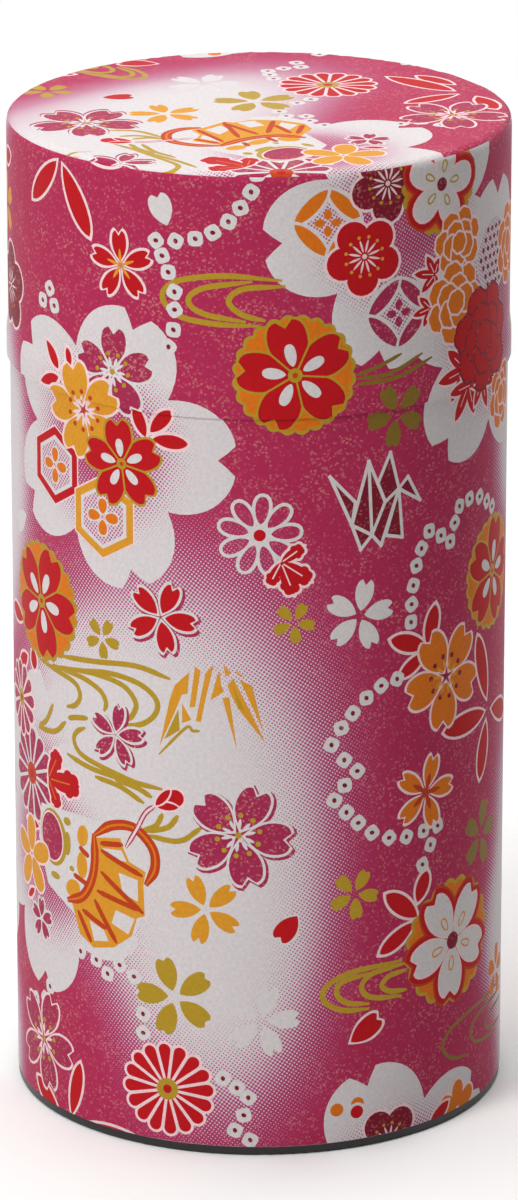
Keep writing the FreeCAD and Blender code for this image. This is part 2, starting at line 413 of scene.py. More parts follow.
def tortoiseshell(pen, at, radius, fill):
    """Hexagon of the tortoiseshell pattern with a small four-petalled flower."""
    hexagon = circle(1.0, steps=6) * 1j
    pen.lay("pale", (radius + 0.3) * hexagon, at)
    pen.lay(fill, radius * hexagon, at)
    pen.lay("white", (radius - 1.4) * hexagon, at)
    pen.lay("ground", (radius - 2.1) * hexagon, at, dye=even_dye(0.45))
    for k in range(4):
        ahead = turned(90 * k)
        edged(pen, at + 0.5 * ahead, at + 0.45 * radius * ahead, round_petal, "orange", "white", 0.25,
              width=0.26 * radius)


def great_blossom(pen, at, turn, radius=23.3):
    """Large white cherry blossom, faintly dyed at its heart, that other motifs lie on."""
    share = np.linspace(-1, 1, 24, endpoint=False)
    rim = 0.66 + 0.34 * (1 - np.abs(share) ** 2.4) - 0.13 * np.maximum(0, 1 - np.abs(share) / 0.17)
    spread = radius * rim * np.exp(1j * np.radians(36 * share))
    outline = np.concatenate([spread * turned(72 * k) for k in range(5)])
    middle = pen.place(at)

    def bleed(places):
        return 0.75 * (1 - smooth(0.2, 0.9, np.abs(places - middle) / radius))

    pen.lay("ground", outline, at, turn, dye=bleed)


def dyed_ball(pen, at, radius):
    """Round of the dappled tie-dye pattern."""
    pen.lay("white", circle(radius + 0.3, steps=26), at)
    pen.lay("ground", circle(radius, steps=26), at, dye=even_dye(0.35))
    steps = int(radius / 1.5)
    for row in range(-steps, steps + 1):
        for column in range(-steps, steps + 1):
            place = complex(1.6 * column + 0.8 * (row % 2), 1.45 * row)
            if abs(place) < radius - 0.7:
                pen.lay("plum", oval(0.5, 0.42, 8), at + place, 20 * column)


def folds(pen, facets, fill, line=None, width=0.5):
    """Folded paper crane, as its facets and, if it has them, its crease lines."""
    for facet in facets:
        pen.lay(fill, facet)
    for facet in facets if line else ():
        for start, end in zip(facet, facet[1:] + facet[:1]):
            pen.lay(line, bar(start, end, width))


def bud(pen, stalk, at, end, edge="pale"):
    """Red bud at the end of a thin stalk."""
    pen.lay("wine", stroke([*stalk, at], 0.9))
    pen.lay(edge, stroke([*stalk, at], 0.4))
    edged(pen, at, end, teardrop, "red", edge, 0.4, width=0.55 * abs(end - at))
    for swing in (-24, 24):
        tip = at + 0.75 * (end - at) * turned(swing)
        edged(pen, at, tip, leaf, "red", edge, 0.3, width=0.25 * abs(end - at))


# Hand drum: its cords, its body with the gaps in it, its rope rings, its white border and its head
DRUM_CORDS = (
    (-26.9 + 48.2j, -18.9 + 45.4j), (-27 + 49.3j, -22.5 + 50j), (-26.9 + 44.6j, -18.8 + 39.2j),
    (-27.8 + 41.2j, -19.2 + 39.6j), (-28.3 + 39.6j, -23.8 + 33.2j), (-31 + 37.2j, -25.8 + 35.2j),
    (-32 + 36.8j, -29 + 32.2j), (-33 + 42.6j, -29.5 + 41.6j), (-31.6 + 47.6j, -29.4 + 46.4j),
)
DRUM_BODY = (
    -28.2 + 50j, -23 + 51j, -22.4 + 49.4j, -21.4 + 47.4j, -18.4 + 46.2j, -18.8 + 44j, -18.6 + 38.8j,
    -20 + 38.2j, -21 + 35j, -24.4 + 32.4j, -28.6 + 31.4j, -31.6 + 33j, -33.4 + 37.6j, -30.6 + 39.6j,
    -29 + 42.6j, -28.2 + 46j,
)
DRUM_GAPS = (
    (-26.6 + 48.6j, -22.8 + 49j, -21.8 + 47.3j, -23.8 + 47.2j),
    (-23.4 + 45.2j, -19.8 + 44.6j, -19.8 + 41j, -22.6 + 41.9j),
    (-24 + 38.8j, -20.4 + 38j, -21.6 + 35.2j, -24.8 + 36.4j),
    (-29.4 + 35.8j, -26.4 + 34.9j, -25.4 + 33.2j, -28.4 + 32.6j),
)
DRUM_RINGS = (
    (-28.3 + 50.6j, -28.2 + 46j, -29 + 42.4j, -31 + 39.4j, -34.6 + 37.8j),
    (-28.2 + 50.4j, -24.6 + 52.8j, -20.4 + 53.2j, -17.2 + 50.4j, -16.8 + 47j, -18.4 + 44j),
)
DRUM_SILHOUETTE = (
    -42 + 52j, -32 + 53j, -20 + 53j, -17 + 47j, -18.6 + 39j, -22 + 33.6j, -28 + 31.4j, -33 + 36j,
    -40 + 39j, -43 + 46j,
)
DRUM_HEAD = -38.8 + 47.3j
# place, half width, half height, turn
DRUM_PATCHES = ((-31 + 44.6j, 1.2, 2.2, 0), (-33.2 + 40.2j, 1.8, 1.4, 30), (-30.8 + 49.6j, 1.2, 1.8, -10))
# place, half width, half height
DRUM_GOLD = (
    (-34.5 + 51j, 0.9, 0.7), (-34.5 + 47.3j, 0.85, 2.0), (-37.8 + 41j, 1.3, 0.6),
    (-33.4 + 43.4j, 0.6, 0.45),
)


def hand_drum(pen):
    """Hand drum seen from the side, with its head at the left."""
    pen.lay("white", DRUM_SILHOUETTE)
    pen.lay("amber", DRUM_BODY)
    for gap in DRUM_GAPS:
        pen.lay("white", gap)
    for at, across, tall, turn in DRUM_PATCHES:
        pen.lay("amber", oval(across, tall), at, turn)
    for at, across, tall in DRUM_GOLD:
        pen.lay("gold", oval(across, tall, 14), at)
    pen.lay("gold", oval(3.8, 4.7), DRUM_HEAD + 0.4, 8)
    pen.lay("pale", oval(3.3, 4.2), DRUM_HEAD, 8)
    pen.lay("wine", oval(3.0, 3.9), DRUM_HEAD, 8)
    for start, end in DRUM_CORDS:
        pen.lay("cord", stroke([start, (start + end) / 2, end], 0.9))
    for ring in DRUM_RINGS:
        pen.lay("cord", stroke(ring, 1.7))
        pen.lay("orange", stroke(ring, 0.4))


# How the design repeats, and the disc of it that the lid top is cut from
PRINT_DROP = 62j
PRINT_REPEAT = 164j
TOP_SPOT = -17.6 + 29.7j
TOP_TURN = 138

# Places of the motifs on the front of the sheet
KNOT_CHAINS = (
    (-0.3 + 160j, -1.2 + 157.2j, -2.8 + 154.7j, -4.6 + 152.5j, -7 + 150.7j, -9.7 + 149.6j, -12.8 + 149j,
     -16 + 148.8j, -15 + 146.5j, -14 + 144j, -13 + 141j, -13 + 138.2j, -13.2 + 135j, -14 + 132.2j),
    (-37.5 + 137.5j, -39.5 + 135.2j, -36.3 + 135j),
    (47 + 99.7j, 44.7 + 101.2j, 42 + 102.7j, 38.8 + 103.2j, 36 + 102.7j, 34.8 + 100.3j, 33.7 + 97.5j,
     31.5 + 99j, 28.9 + 100.3j, 27.3 + 97.8j, 26.3 + 95.2j, 25.7 + 92.1j, 25.4 + 89.1j, 25.3 + 86.2j),
    (22.7 + 77.4j, 19.8 + 76.8j, 17.2 + 75.2j, 14.9 + 73j, 13 + 70.8j, 11.4 + 68.2j, 13.5 + 65.5j,
     15.7 + 63.4j, 13.6 + 61.3j, 11.9 + 59j, 13.9 + 56.8j, 15.9 + 54.8j, 18.3 + 52.8j, 21.4 + 51.4j,
     24.7 + 50.9j, 28.2 + 51.1j, 31.3 + 51.2j, 29.7 + 48.4j, 28 + 45.5j),
    (-31.5 + 30j, -28 + 29.5j, -25.7 + 27.7j, -23.3 + 29.7j, -20.6 + 28.3j, -19 + 25.5j, -19 + 22.3j,
     -19 + 19.1j),
    (-39.8 + 21.5j, -41.5 + 18.9j, -44.8 + 17.8j),
    (-5.7 + 13j, -3.5 + 11.5j, -1.7 + 9.9j, -2.4 + 6.9j, -3.8 + 4.3j, -1.4 + 2.7j),
)
# Clouds of white in the ground, the last two painted edge sheen; place, half width, half height
CLOUDS_AND_EDGE_SHEEN = (
    (-15 + 64j, 31, 41), (-28 + 68j, 21, 19), (-7 + 36j, 20.5, 36), (64 + 40j, 17, 30), (56 + 26j, 13, 16),
    # painted sheen: white patches on the print at the left and right edges as seen from the front
    (-60 + 112j, 13, 21), (60 + 108j, 13, 18),
)
# place, turn
GREAT_BLOSSOMS = (
    (-26.6 + 115j, 71), (23.7 + 150.8j, 112.6), (46 + 130j, 86), (-43.5 + 51j, 80), (-40.5 + 44j, -92),
    (24 - 9j, 108),
)
# place, size, turn
MAPLES = (
    (29.4 + 141.4j, 4.2, 170), (28.6 + 136.2j, 3.6, 190), (36.4 + 124.8j, 6.4, 188),
    (38.2 + 122j, 6.4, 236), (42.4 + 121.8j, 5.4, 290),
)
# Brush widths
LINE_WIDTH = {"gold": 0.9, "bronze": 0.62}
GOLD_LINES = (
    # water on the lid
    (3.5 + 143.3j, -5 + 144j, -12.4 + 142.8j, -15 + 140.2j, -12.6 + 137.4j, -7 + 136.4j, 0 + 136.2j),
    (-1 + 143.2j, -8.2 + 142j, -10.8 + 140j, -8.8 + 138j, -2 + 136.8j),
    (4 + 142.4j, -2.4 + 142j, -4.6 + 140j, -2.6 + 138j, 1 + 137j),
    # stems on the left of the body
    (-42 + 76j, -36 + 75.4j, -32.2 + 74.6j, -31.1 + 72.8j, -32.2 + 71j, -34.4 + 70.2j),
    (-38 + 76.2j, -31 + 76j, -27 + 74.8j, -25.6 + 73j, -26 + 71.4j),
    (-36 + 76.4j, -28 + 77.2j, -22.4 + 76.4j, -20 + 74j, -20.6 + 71.8j, -22 + 70.6j),
    (-33 + 76.8j, -25 + 77.9j, -19.4 + 77.2j, -16.4 + 75j, -16.6 + 72.6j, -19 + 70.6j, -22.2 + 70j),
    (-36 + 78.2j, -28 + 79.2j, -20 + 80j, -14 + 78.7j), (-34 + 68.4j, -32 + 69j, -29.4 + 69.5j),
    (-30 + 67.8j, -32 + 66.6j, -32.6 + 65j, -31 + 63.2j, -26 + 62j, -20 + 61j),
    (-34.4 + 62.4j, -29 + 61.4j, -22 + 60.9j, -15.4 + 60.4j), (-28 + 60.2j, -23 + 59.6j, -18.6 + 57.6j),
    (-24 + 60.6j, -20 + 60j, -17.2 + 58.8j),
    # leaves by the bud
    (-19 + 53j, -16.6 + 54.2j, -15.4 + 56.4j), (-18.4 + 53j, -14.6 + 54.2j, -12.8 + 56.4j),
    (-18 + 52.4j, -12.6 + 52.2j, -9 + 54.8j), (-42.6 + 64.6j, -40 + 66.4j, -38 + 69.6j),
    (-42.6 + 64.4j, -37.6 + 65.2j, -34.6 + 67.6j),
    # water low on the body
    (24 + 30.4j, 15 + 30j, 10.6 + 28j, 10.4 + 25.6j, 13.4 + 23.8j, 18 + 23.4j),
    (18 + 29.4j, 13.4 + 28.6j, 12.4 + 26.8j, 14 + 25j, 18 + 24.2j),
    (25 + 29.8j, 18.6 + 29.2j, 16.6 + 27.2j, 18.4 + 25.2j, 24 + 24.4j),
    (25 + 28.6j, 21.6 + 28.2j, 20.2 + 26.8j, 21.8 + 25.6j, 25 + 25.2j),
)
BRONZE_LINES = (
    # stems by the red blossom on the lid
    (15.2 + 126.2j, 22 + 126.4j, 29 + 128.4j), (15.2 + 127j, 21 + 127.2j, 27 + 129.4j),
    (15.2 + 127.6j, 19 + 128.6j, 23 + 130j),
    # water at the lower right
    (56 + 17.4j, 44 + 17.4j, 35.6 + 16j, 33 + 13.2j, 35.4 + 10.6j, 40 + 9.8j),
    (56 + 15.8j, 45 + 15.8j, 40.8 + 13.6j, 43 + 11j, 52 + 9.6j),
    (56 + 14.2j, 49 + 14j, 46.4 + 12.8j, 49 + 11.2j, 56 + 10.6j),
)
RED_LEAVES = (
    # tip, round end, width
    (-35.3 + 158.2j, -42.3 + 150.8j, 3.0), (-33.8 + 157.8j, -28 + 147.6j, 3.4),
    (-29.4 + 160.8j, -21.6 + 160.4j, 2.6), (-38.5 + 129j, -35 + 125.3j, 1.7),
    (-32.3 + 126j, -33.2 + 129j, 1.3), (-39.8 + 122.2j, -35 + 123.9j, 1.8),
    (-18 + 117.3j, -20 + 122j, 2.0), (-17.2 + 118.2j, -13.6 + 122.2j, 2.2),
    (-16.8 + 117.2j, -11 + 116.9j, 2.2), (28.4 + 81.6j, 21.5 + 84j, 2.8),
    (28.8 + 81.4j, 30.4 + 88j, 2.8), (28.2 + 80.6j, 23.2 + 77.6j, 2.2),
    (44.6 + 66.4j, 32.6 + 66.3j, 3.4), (45.4 + 68.4j, 41.8 + 79.8j, 3.4),
    (45.2 + 64.6j, 43 + 55.6j, 3.4), (47.6 + 66j, 58 + 62.6j, 3.4), (27 + 37j, 20.9 + 42j, 3.0),
    (27 + 39.4j, 29 + 44.2j, 2.6), (26.4 + 36.2j, 19.8 + 32.2j, 2.6), (-34 + 1.4j, -31.8 + 10.8j, 2.6),
    (-37.4 + 0.4j, -44.6 + 4.4j, 3.0), (-53 + 155j, -58 + 153.6j, 2.6), (-49 + 80.4j, -56 + 80.8j, 2.6),
    (-44.6 + 77j, -44 + 73.6j, 2.2), (-47 + 75j, -51 + 72.4j, 2.4), (-43 + 47.6j, -48 + 47.4j, 1.6),
    (-45 + 36.4j, -47.6 + 34.4j, 1.2),
)
ORANGE_CRANE = (
    (-10.9 + 80.2j, -13.3 + 77.8j, -14.1 + 75.5j, -15.9 + 67.4j, -13.2 + 73.6j, -12.1 + 76.4j,
     -11.2 + 76.6j),
    (-12.1 + 75j, -12.1 + 71.7j, -10.6 + 72.4j), (-10 + 81.2j, -9.1 + 80.6j, -10 + 74.6j, -10.9 + 74.4j),
    (-8.3 + 80.3j, -7 + 81.7j, -8.1 + 77j, -9.1 + 72.1j, -9.9 + 72.3j),
    (-5.5 + 81.7j, -4.2 + 80.5j, -5.2 + 79.8j),
    (-6.5 + 79.8j, -6 + 80.8j, -5.9 + 78.4j, -5.4 + 77.4j, -7.6 + 75.8j),
    (-5.7 + 76.3j, -4.6 + 76.5j, -3.4 + 67.9j), (-3.6 + 80.9j, -2.2 + 79.8j, -3.4 + 80.2j),
    (-4 + 79.6j, -4.9 + 78.4j, -4.3 + 76.8j, -3.2 + 74.6j, 1 + 69.1j, -1.6 + 74.8j),
    (-3 + 79.4j, -1.1 + 78.5j, -0.2 + 74.8j, 0.7 + 70.9j, -1.3 + 75.6j),
)
OLIVE_FACETS = ((-12.7 + 74j, -15.1 + 68.7j, -12.5 + 70.5j), (-4 + 78.4j, -3.2 + 74.8j, -2.2 + 74.2j))
WHITE_CRANE = (
    (11 + 111.7j, 15.2 + 107.2j, 14.6 + 103.6j), (17.4 + 113.5j, 14.6 + 103.6j, 18 + 101.6j),
    (17.4 + 113.5j, 18 + 101.6j, 20.3 + 106.6j),
    (21.2 + 114.4j, 19 + 109.8j, 20.3 + 106.6j, 22.8 + 108.4j),
    (20.3 + 106.6j, 18 + 101.6j, 19.6 + 99.7j, 22.8 + 108.4j),
    (14.6 + 103.6j, 16.1 + 99.5j, 18 + 101.6j),
    (22.8 + 108.4j, 24.5 + 110j, 26.9 + 105.8j, 23.6 + 107.8j),
    (22.8 + 108.4j, 23.5 + 100.4j, 20.4 + 101.2j),
)


def print_ground(pen):
    """Clouds of white in the dyed ground, two of them painted edge sheen, and the large blossoms."""
    for at, across, tall in CLOUDS_AND_EDGE_SHEEN:
        pen.mist(at, across, tall)
    for at, turn in GREAT_BLOSSOMS:
        great_blossom(pen, at, turn)


def print_upper(pen):
    """Motifs of the lid and of the body just under it."""
    for start, end, width in ((-15.9 + 156j, -14.2 + 151.4j, 3.6), (-51.6 + 95.4j, -47 + 98.4j, 3.2)):
        edged(pen, end, start, cherry_petal, "white", "white", 0.1, width=width, notch=0.6)
    cherry(pen, -22.1 + 144.1j, 5.4, 94, "red", slim=0.48)
    petals(pen, -22.1 + 144.1j, 94, 5, "amber", None, 0, leaf, length=2.6, width=0.5)
    plum(pen, -53.5 + 134j, 7, 20, "plum")
    small_blossom(pen, -57 + 146.5j, 5, 30, "amber")
    # on the great blossom at the left
    tortoiseshell(pen, -36.8 + 109.2j, 6.3, "red")
    tortoiseshell(pen, -26 + 103.2j, 6.6, "amber")
    cherry(pen, -23.7 + 127j, 7.0, 88, "wine", "white", "white", "gold", 0.66)
    cherry(pen, -29.8 + 119.6j, 7.6, 106, "amber", "pale", "pale", "cord", 0.72)
    rosette(pen, -22.3 + 112.4j, 7.4, 98, False)
    rosette(pen, 5.5 + 128.3j, 9.4, 102)
    # on the great blossoms at the right
    linked_rings(pen, 10.5 + 152j, 5.2, "orange")
    plum(pen, 20.3 + 157.2j, 6.2, 54, "plum", "pale", "pale", "gold")
    white_rosette(pen, 30.8 + 155.4j, 7.2, 78, round_petal, 0.56, "gold")
    plum(pen, 16.4 + 146.2j, 6.2, 122, "red", "pale", "pale", "amber")
    linked_rings(pen, 22.4 + 136.5j, 5.3, "wine")
    for at, size, turn in MAPLES:
        maple(pen, at, size, turn)
    dyed_ball(pen, 46 + 141j, 5.8)
    peony(pen, 35 + 145.4j, 5.4, 20, "orange", "pale")
    peony(pen, 34.4 + 136j, 6.4, 50, "orange", "pale")
    peony(pen, 42.6 + 128.6j, 8.4, 10, "red", "plum")
    peony(pen, 54 + 141j, 6.4, 0, "orange", "pale")
    peony(pen, 51 + 117j, 5.4, 40, "orange", "pale")
    small_blossom(pen, 22.2 + 120.4j, 5.2, 118, "bronze")


def print_middle(pen):
    """Motifs round the middle of the body."""
    folds(pen, WHITE_CRANE, "plum", "white", 0.55)
    open_chrysanthemum(pen, 0.1 + 102.8j, 6.8, 85, 9)
    lobed_leaf(pen, 3.4 + 98.4j, (6.8 + 100.8j, 8 + 95.2j, 5.4 + 93.2j, 1.6 + 94.8j))
    small_blossom(pen, 5.4 + 88.6j, 3.4, 60)
    cherry(pen, 16 + 88.8j, 5.8, 78, "white", None, slim=0.54)
    cherry(pen, -15.6 + 88.6j, 5.7, 66, "red", "white", slim=0.5, shadow=True)
    rosette(pen, -41.3 + 85.8j, 9.6, 66)
    rosette(pen, 47.4 + 89j, 9.2, 78)
    small_blossom(pen, -26.3 + 83.4j, 3.4, 60)
    cherry(pen, 33 + 75.6j, 8.4, 121, "orange", "pale", "amber", "plum", 0.68)
    cherry(pen, -23.8 + 68j, 4.9, 80, "wine", "white", slim=0.44, shadow=True)
    folds(pen, ORANGE_CRANE, "amber")
    folds(pen, OLIVE_FACETS, "gold")
    pen.lay("gold", stroke([-16 + 66.1j, -11.5 + 71j, -10.4 + 70.6j, -9.2 + 70.7j], 0.5))


def print_lower(pen):
    """Motifs from the drum down to the base."""
    chrysanthemum(pen, -45.6 + 55.8j, 7.6, 8, 14, "wine", "white", "cord")
    chrysanthemum(pen, -50.4 + 67j, 6.0, 8, 12, "wine", "pale", "gold")
    lobed_leaf(pen, -39.6 + 56.8j, (-36.4 + 62j, -31.4 + 57.6j, -36.6 + 52.6j), vein="orange")
    hand_drum(pen)
    petals(pen, -46 + 42j, 20, 5, "amber", "pale", 0.4, round_petal, length=6.5, width=3.4, start=0.6)
    cherry(pen, -42.4 + 32.2j, 3.4, 90, "wine", "white", slim=0.56)
    bud(pen, (-22 + 49.6j, -20 + 53j, -18.4 + 56j), -16.6 + 57.6j, -12 + 59.8j)
    cherry(pen, -3.2 + 53.8j, 8.2, 66, "wine", "white", "white", "gold", 0.64, shadow=True)
    cherry(pen, -8.4 + 41.2j, 5.8, 113, "amber", "white", slim=0.48)
    edged(pen, 6 + 40.3j, 3 + 36.4j, cherry_petal, "red", "white", 0.35, width=3.4, notch=0.6)
    small_blossom(pen, 15.3 + 43j, 4.2, 60)
    cherry(pen, 28.6 + 57.4j, 6.0, 73, "orange", "pale", slim=0.46)
    petals(pen, 28.6 + 57.4j, 73, 5, "cord", None, 0, leaf, length=3.2, width=0.9)
    small_blossom(pen, 43.6 + 46.2j, 5.6, 76, "bronze")
    white_rosette(pen, 35.2 + 30.8j, 9.6, 122, notched, 0.56, "amber")
    edged(pen, 14.8 + 18.2j, 19.8 + 21.6j, cherry_petal, "red", "pale", 0.45, width=3.6, notch=0.6)
    small_blossom(pen, -13.5 + 26j, 6.6, 108)
    cherry(pen, 0.4 + 22.8j, 6.0, 76, "white", None, slim=0.52)
    chrysanthemum(pen, -14.8 + 10.3j, 7.6, 4, 16, "red", "pale", "gold")
    cherry(pen, -42 + 11.8j, 8.2, 68, "wine", "pale", "pale", "gold", 0.6)
    edged(pen, -32 + 0j, -18.4 + 0j, leaf, "red", "pale", 0.5, width=3.6)
    # on the great blossom at the base
    for at, fill in ((12.5 + 7j, "orange"), (16 + 7.6j, "orange"), (15.9 + 6.2j, "red")):
        pen.lay("white", circle(1.6), at)
        pen.lay(fill, circle(1.1), at)
    plum(pen, 21.8 + 0.2j, 6.0, 126, "plum", "pale", "pale", "gold")
    petals(pen, 37 + 1.4j, 30, 6, "orange", "pale", 0.4, round_petal, length=5.0, width=3.0, start=0.4)
    edged(pen, 30 + 0.6j, 34.6 + 3.6j, leaf, "red", "pale", 0.4, width=2.2)
    small_blossom(pen, 52 + 20j, 4.6, 10, "orange")


def print_design(pen):
    """The whole design, as it shows on the front."""
    print_ground(pen)
    for ink, lines in (("gold", GOLD_LINES), ("bronze", BRONZE_LINES)):
        for line in lines:
            pen.lay(ink, stroke(line, LINE_WIDTH[ink]))
    for start, end, width in RED_LEAVES:
        edged(pen, start, end, leaf, "red", "pale", 0.5, width=width, belly=0.56)
    for chain in KNOT_CHAINS:
        for at in chain:
            knot(pen, at)
    print_upper(pen)
    print_middle(pen)
    print_lower(pen)


def print_wrap():
    """The sheet for the body and the lid side: the design twice round, with a drop between the two."""
    sheet = Sheet()
    for across in (-GIRTH / 2, GIRTH / 2):
        for rise in (PRINT_DROP, PRINT_DROP - PRINT_REPEAT):
            print_design(Pen(sheet, across + rise))
    print_design(Pen(sheet))
    return sheet


def print_top():
    """The sheet for the lid top: a disc of the same print, with its lower edge at the front."""
    sheet = Sheet()
    for repeat in (-PRINT_REPEAT, 0j):
        spot = TOP_SPOT - repeat
        print_design(Pen(sheet, -spot * turned(TOP_TURN), TOP_TURN))
    return sheet


# From a printed sheet to its mesh
def winds_round(outline, places):
    """Which of the places an outline winds round."""
    here = places[:, None]
    start = outline[None, :]
    end = np.roll(outline, -1)[None, :]
    left = ((end - start).conj() * (here - start)).imag
    up = (start.imag <= here.imag) & (end.imag > here.imag) & (left > 0)
    down = (start.imag > here.imag) & (end.imag <= here.imag) & (left < 0)
    return (up.sum(axis=1) - down.sum(axis=1)) != 0


def corners(outline):
    """Left, right, low and high reach of an outline."""
    return outline.real.min(), outline.real.max(), outline.imag.min(), outline.imag.max()


def spread_points(rim, step):
    """Evenly spread points inside a rim, in staggered rows."""
    left, right, low, high = corners(rim)
    rows = np.arange(low + step / 2, high, step * ROW_SHARE)
    points = []
    for k, row in enumerate(rows):
        points.append(np.arange(left + step / 2 + (k % 2) * step / 2, right, step) + 1j * row)
    points = np.concatenate(points)
    return points[winds_round(rim, points)]


# Triangles inside the outlines only, the least distance of two points, and what counts as a needle
INSIDE_ONLY = 1
NEAREST = 1e-3
NEEDLE = 2e-4


def cut_along(outlines, loose):
    """Triangles that keep to every outline, as points and corner indices, turned anticlockwise."""
    places = []
    edges = []
    for outline in outlines:
        first = len(places)
        places.extend(outline)
        count = len(outline)
        edges.extend((first + k, first + (k + 1) % count) for k in range(count))
    places.extend(loose)
    flat = [Vector((place.real, place.imag)) for place in places]
    found, _, faces, sources, _, _ = delaunay_2d_cdt(flat, edges, [], INSIDE_ONLY, NEAREST)
    points = np.array([complex(point.x, point.y) for point in found])
    faces = np.array(faces)
    a, b, c = (points[faces[:, k]] for k in range(3))
    area = ((b - a).conj() * (c - a)).imag
    faces[area < 0] = faces[area < 0][:, ::-1]
    longest = np.abs([b - a, c - b, a - c]).max(axis=0)
    return points, faces[np.abs(area) > NEEDLE * longest**2], sources


def inks_of(sheet, points, faces):
    """Ink number and dye at the corners of every triangle."""
    middle = points[faces].mean(axis=1)
    owner = np.full(len(faces), -1)
    for number, (_, outline, _) in enumerate(sheet.shapes):
        left, right, low, high = corners(outline)
        beside = (middle.real > left) & (middle.real < right)
        near = np.flatnonzero(beside & (middle.imag > low) & (middle.imag < high))
        if len(near):
            owner[near[winds_round(outline, middle[near])]] = number
    inks = np.array([INKS.index(shape[0]) for shape in sheet.shapes] + [0])[owner]
    dye = sheet.ground_dye(points[faces].ravel()).reshape(faces.shape)
    for number, shape in enumerate(sheet.shapes):
        if shape[2]:
            own = owner == number
            dye[own] = shape[2](points[faces[own]].ravel()).reshape(-1, 3)
    return inks, dye


def rim_loop(faces):
    """Points along the edge of a sheet in order, and the triangle at the edge after each."""
    pairs = np.concatenate([faces[:, [0, 1]], faces[:, [1, 2]], faces[:, [2, 0]]])
    keys = np.sort(pairs, axis=1)
    _, first, count = np.unique(keys, axis=0, return_index=True, return_counts=True)
    after = {pairs[k, 0]: (pairs[k, 1], k % len(faces)) for k in first[count == 1]}
    loop = [min(after)]
    owners = [after[loop[0]][1]]
    point = after[loop[0]][0]
    while point != loop[0]:
        loop.append(point)
        owners.append(after[point][1])
        point = after[point][0]
    return np.array(loop), np.array(owners)


def outlines_inside(sheet, rim):
    """Outlines of a sheet that reach inside a rim."""
    left, right, low, high = corners(rim)
    shown = []
    for _, outline, _ in sheet.shapes:
        a, b, c, d = corners(outline)
        if b > left and a < right and d > low and c < high:
            shown.append(outline)
    return shown


def walls_between(outer, inner):
    """Triangles that join the rim of the printed side to the rim of the back."""
    after = np.roll(np.arange(len(outer)), -1)
    upper = np.stack([outer[after], outer, inner], 1)
    lower = np.stack([outer[after], inner, inner[after]], 1)
    return np.concatenate([upper, lower])


def flat_normals(places, triangles):
    """Unit normal of every triangle."""
    a, b, c = (places[triangles[:, k]] for k in range(3))
    across = np.cross(b - a, c - a)
    return across / np.linalg.norm(across, axis=1, keepdims=True)


def paper_piece(name, sheet, rim, wrap, inks):
    """A printed sheet of paper with its thickness, wrapped on the tin."""
    shown = outlines_inside(sheet, rim)
    points, faces, _ = cut_along([rim, *shown], spread_points(rim, SHEET_STEP))
    faces = faces[winds_round(rim, points[faces].mean(axis=1))]
    ink, dye = inks_of(sheet, points, faces)
    loop, owners = rim_loop(faces)
    back_points, back_faces, sources = cut_along([points[loop]], spread_points(rim, BACKING_STEP))
    back_of = {source: k for k, found in enumerate(sources) for source in found}
    used = np.unique(faces)
    number = np.full(len(points), -1)
    number[used] = np.arange(len(used))
    out_at, out_normal = wrap(points[used])
    in_at, in_normal = wrap(back_points)
    places = np.concatenate([out_at, in_at - PAPER * in_normal])
    front = number[faces]
    back = back_faces[:, ::-1] + len(used)
    outer = number[loop]
    inner = np.array([back_of[k] for k in range(len(loop))]) + len(used)
    walls = walls_between(outer, inner)
    triangles = np.concatenate([front, back, walls])
    mesh = bpy.data.meshes.new(name)
    mesh.from_pydata((places * MM).tolist(), [], triangles.tolist())
    slots = np.full(len(triangles), INKS.index("paper_back"))
    slots[: len(front)] = ink
    slots[-len(walls):] = np.tile(ink[owners], 2)
    mesh.polygons.foreach_set("material_index", slots.astype(np.int32))
    flat = np.concatenate([points[used], back_points])[triangles.ravel()]
    layer = mesh.uv_layers.new(name="sheet_mm")
    layer.uv.foreach_set("vector", np.stack([flat.real, flat.imag], 1).ravel().astype(np.float32))
    dyes = np.zeros(triangles.shape)
    dyes[: len(front)] = dye
    dyes[-len(walls):] = np.tile(dye[owners].mean(axis=1), 2)[:, None]
    densities = mesh.attributes.new("dye", "FLOAT", "CORNER")
    densities.data.foreach_set("value", dyes.ravel().astype(np.float32))
    normals = np.concatenate([out_normal, -in_normal])[triangles]
    normals[-len(walls):] = flat_normals(places, walls)[:, None, :]
    mesh.shade_smooth()
    mesh.normals_split_custom_set(normals.reshape(-1, 3).tolist())
    for key in INKS:
        mesh.materials.append(inks[key])
    piece = bpy.data.objects.new(name, mesh)
    bpy.context.scene.collection.objects.link(piece)
    return piece


def strip_rim(low, high):
    """Rim of the sheet that goes once round, with the lap at its right end."""
    along = np.linspace(-GIRTH / 2, GIRTH / 2 + LAP, round((GIRTH + LAP) / SHEET_STEP) + 1)
    return np.concatenate([along + 1j * low, along[::-1] + 1j * high])


def round_wrap(profile):
    """Wraps a strip on a turned side. The right end climbs over the left end at the back."""

    def wrap(places):
        angle = places.real / BODY_HIGH[0]
        radius, height, lean = profile(places.imag)
        radius = radius + LAP_LIFT * smooth(GIRTH / 2 - LAP_RAMP, GIRTH / 2, places.real)
        at = np.stack([radius * np.sin(angle), -radius * np.cos(angle), height], 1)
        level = np.cos(lean)
        return at, np.stack([level * np.sin(angle), -level * np.cos(angle), np.sin(lean)], 1)

    return wrap


def body_profile(along):
    """Radius, height and upward lean of the body's straight side."""
    return np.full(np.shape(along), BODY_HIGH[0]), along, np.zeros(np.shape(along))


def lid_profile(along):
    """Radius, height and upward lean of the lid's side, from its swollen mouth to its rounded top edge."""
    rise = HEM_SWELL_TO - HEM_SWELL_FROM
    swell = LID_HIGH[0] - TOP_HIGH[0]
    share = np.clip((along - HEM_SWELL_FROM) / rise, 0, 1)
    bend = np.maximum(0, along - CORNER_LOW) / TOP_CORNER
    radius = TOP_HIGH[0] + swell * (1 - smooth(0, 1, share)) - TOP_CORNER * (1 - np.cos(bend))
    height = np.minimum(along, CORNER_LOW) + TOP_CORNER * np.sin(bend)
    return radius, height, bend + 6 * swell * share * (1 - share) / rise


